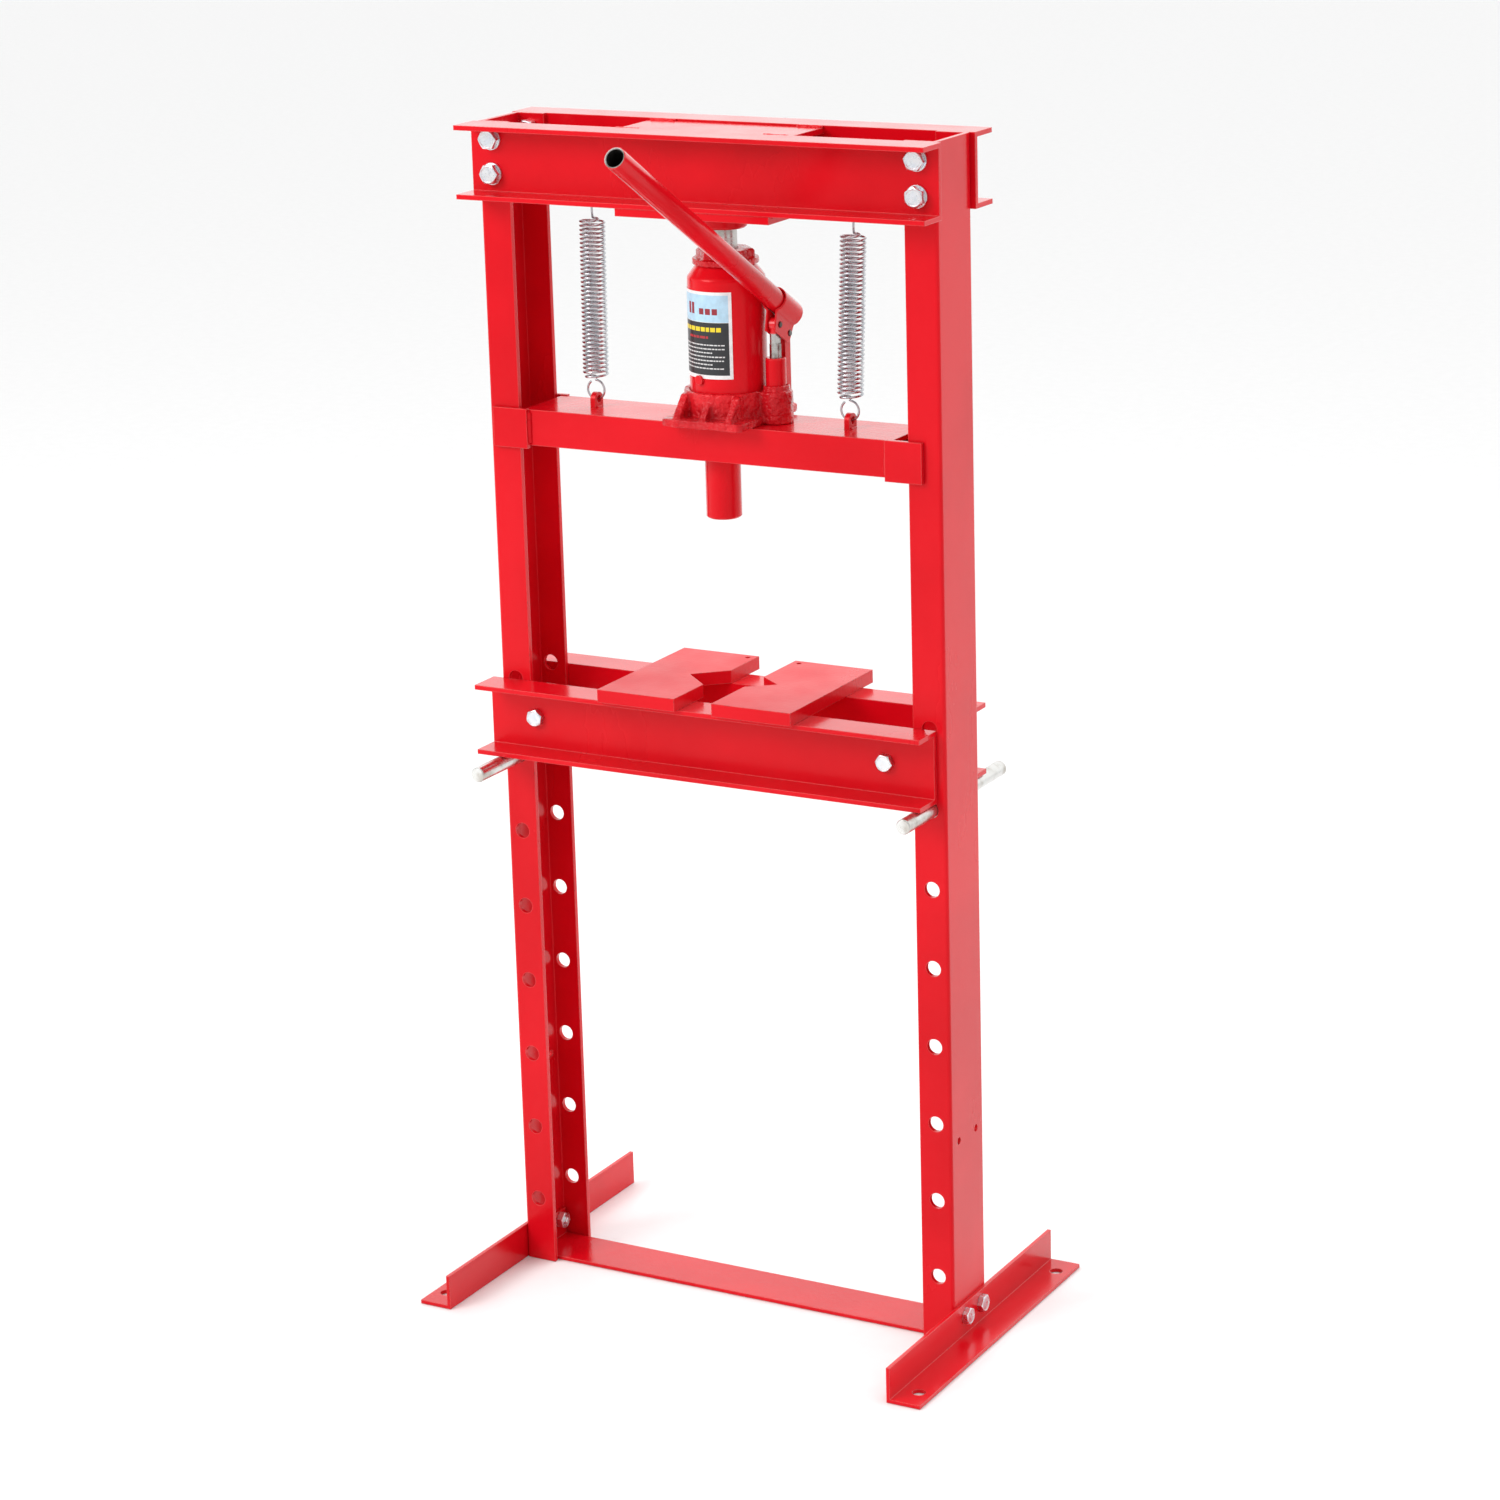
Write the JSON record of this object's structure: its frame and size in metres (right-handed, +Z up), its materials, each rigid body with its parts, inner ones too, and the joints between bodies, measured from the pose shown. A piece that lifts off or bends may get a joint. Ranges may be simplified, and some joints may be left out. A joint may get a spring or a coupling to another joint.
{
  "type": "hydraulic shop press",
  "caption": "H-frame hydraulic shop press: a bottle jack drives a sprung press beam down onto a pinned, height-adjustable bed with loose V plates.",
  "frame": {"origin": "on the floor, midway between the two uprights", "axes": "+Z up, +X to the operator's right across the frame, +Y away from the operator"},
  "size_m": [0.602, 0.5037, 1.2814],
  "materials": {
    "painted": "gloss",
    "jack_paint": "gloss over cast iron",
    "zinc": "bright zinc plate",
    "spring_steel": "bright zinc plate",
    "bright_steel": "ground steel",
    "label": "printed foil"
  },
  "bodies": {
    "frame": {"left_upright": "painted", "right_upright": "painted", "top_beam_front": "painted", "top_beam_rear": "painted", "top_tie_plate": "painted", "head_plate": "painted", "ram_seat": "painted", "spring_hangers": "painted", "left_foot": "painted", "right_foot": "painted", "base_crossbar": "painted", "top_beam_bolts": "zinc", "top_beam_washers": "zinc", "top_beam_nuts": "zinc", "foot_bolts": "zinc", "foot_nuts": "zinc", "left_spring": "spring_steel", "right_spring": "spring_steel"},
    "press_beam": {"press_beam": "painted", "guide_plate_front_left": "painted", "guide_plate_front_right": "painted", "guide_plate_rear_left": "painted", "guide_plate_rear_right": "painted", "pusher": "painted", "left_spring_lug": "painted", "right_spring_lug": "painted", "jack_base": "jack_paint", "jack_tank": "jack_paint", "jack_cap_nut": "jack_paint", "jack_label": "label", "filler_plug": "jack_paint", "pressure_cylinder": "bright_steel", "pump_cylinder": "jack_paint", "link_lower_pin": "bright_steel"},
    "ram": {"ram": "bright_steel"},
    "pump_piston": {"pump_piston": "bright_steel"},
    "pump_link": {"link_bar": "jack_paint"},
    "handle_socket": {"handle_socket": "jack_paint", "socket_pins": "bright_steel"},
    "handle": {"handle_tube": "painted"},
    "release_valve": {"release_valve": "bright_steel"},
    "bed": {"bed_channel_front": "painted", "bed_channel_rear": "painted", "bed_bolts": "zinc", "bed_nuts": "zinc", "bed_spacer_sleeves": "zinc"},
    "left_bed_pin": {"left_bed_pin": "zinc"},
    "right_bed_pin": {"right_bed_pin": "zinc"},
    "left_arbor_plate": {"left_arbor_plate": "painted"},
    "right_arbor_plate": {"right_arbor_plate": "painted"}
  },
  "joints": [
    {"name": "press_slide", "type": "slide", "parent": "frame", "child": "press_beam", "axis": [0, 0, -1], "range_m": [0, 0.11], "stiffness_N_per_m": 3000, "springref_m": -0.08, "deforming": ["left_spring", "right_spring"]},
    {"name": "ram_extend", "type": "slide", "parent": "press_beam", "child": "ram", "axis": [0, 0, 1], "range_m": [0, 0.11]},
    {"name": "handle_pump", "type": "hinge", "parent": "pump_link", "child": "handle_socket", "pos_m": [0.059, 0.02, 1.04984], "axis": [1, 0, 0], "range_deg": [-8, 38]},
    {"name": "link_rock", "type": "hinge", "parent": "press_beam", "child": "pump_link", "pos_m": [0.059, 0.02, 0.987], "axis": [1, 0, 0], "range_deg": [-4, 4]},
    {"name": "pump_stroke", "type": "slide", "parent": "press_beam", "child": "pump_piston", "axis": [0, 0, -1], "range_m": [-0.004, 0.014]},
    {"name": "handle_draw", "type": "slide", "parent": "handle_socket", "child": "handle", "axis": [0, -0.8545, 0.5195], "range_m": [0, 0.2]},
    {"name": "release_valve_turn", "type": "hinge", "parent": "press_beam", "child": "release_valve", "pos_m": [0.019, 0.054, 0.9755], "axis": [0, 1, 0], "range_deg": [0, 270]},
    {"name": "bed_lift", "type": "slide", "parent": "frame", "child": "bed", "axis": [0, 0, 1], "range_m": [0, 0.03]},
    {"name": "left_pin_draw", "type": "slide", "parent": "frame", "child": "left_bed_pin", "axis": [0, -1, 0], "range_m": [0, 0.26]},
    {"name": "right_pin_draw", "type": "slide", "parent": "frame", "child": "right_bed_pin", "axis": [0, -1, 0], "range_m": [0, 0.26]},
    {"name": "left_plate_slide", "type": "slide", "parent": "bed", "child": "left_arbor_plate", "axis": [1, 0, 0], "range_m": [-0.09, 0.02]},
    {"name": "right_plate_slide", "type": "slide", "parent": "bed", "child": "right_arbor_plate", "axis": [1, 0, 0], "range_m": [-0.02, 0.09]}
  ],
  "couplings": [
    {"joint": "ram_extend", "follows": "press_slide", "ratio": 1},
    {"joint": "link_rock", "follows": "handle_pump", "ratio": -0.1},
    {"joint": "pump_stroke", "follows": "handle_pump", "m_per_rad": 0.01975}
  ]
}
